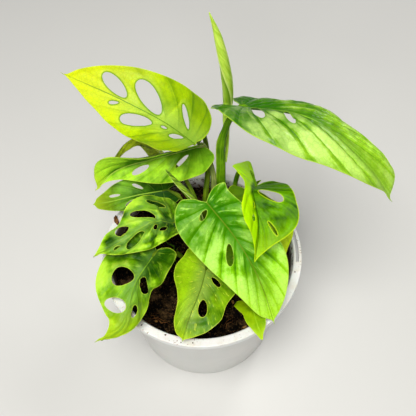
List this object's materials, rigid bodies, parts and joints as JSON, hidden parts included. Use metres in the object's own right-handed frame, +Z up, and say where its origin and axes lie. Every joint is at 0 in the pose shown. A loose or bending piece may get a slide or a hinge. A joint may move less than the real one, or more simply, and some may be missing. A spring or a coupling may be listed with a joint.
{
  "type": "potted monstera adansonii",
  "caption": "Young potted monstera adansonii: holed heart-shaped leaves on slender stalks, a rolled new leaf, and soil in a white tapered nursery pot.",
  "frame": {"origin": "centre of the pot's flat underside", "axes": "+Z up along the pot's axis, -Y the side seen first, +X to that side's right, where the widest leaf reaches"},
  "size_m": [0.1812, 0.1459, 0.2251],
  "materials": {
    "pot_plastic": "white moulded plastic with a satin sheen",
    "potting_mix": null,
    "leaf_yellow_green": null,
    "leaf_mid_green": null,
    "leaf_deep_green": null,
    "leaf_blue_green": null,
    "leaf_olive": null,
    "new_leaf": null,
    "vine": null
  },
  "bodies": {
    "root": {"pot": "pot_plastic", "soil": "potting_mix", "leaf_upper_left": "leaf_yellow_green", "leaf_upper_right": "leaf_mid_green", "leaf_folded": "leaf_mid_green", "leaf_blue_green": "leaf_blue_green", "leaf_centre": "leaf_deep_green", "leaf_curled": "leaf_yellow_green", "leaf_arched": "leaf_olive", "leaf_right_lower": "leaf_olive", "leaf_front": "leaf_olive", "leaf_small": "leaf_yellow_green", "leaf_left_fringed": "leaf_mid_green", "leaf_left_draped": "leaf_mid_green", "rolled_leaf": "new_leaf", "young_shoot": "new_leaf", "vine_back": "vine", "vine_left": "vine"}
  },
  "joints": []
}
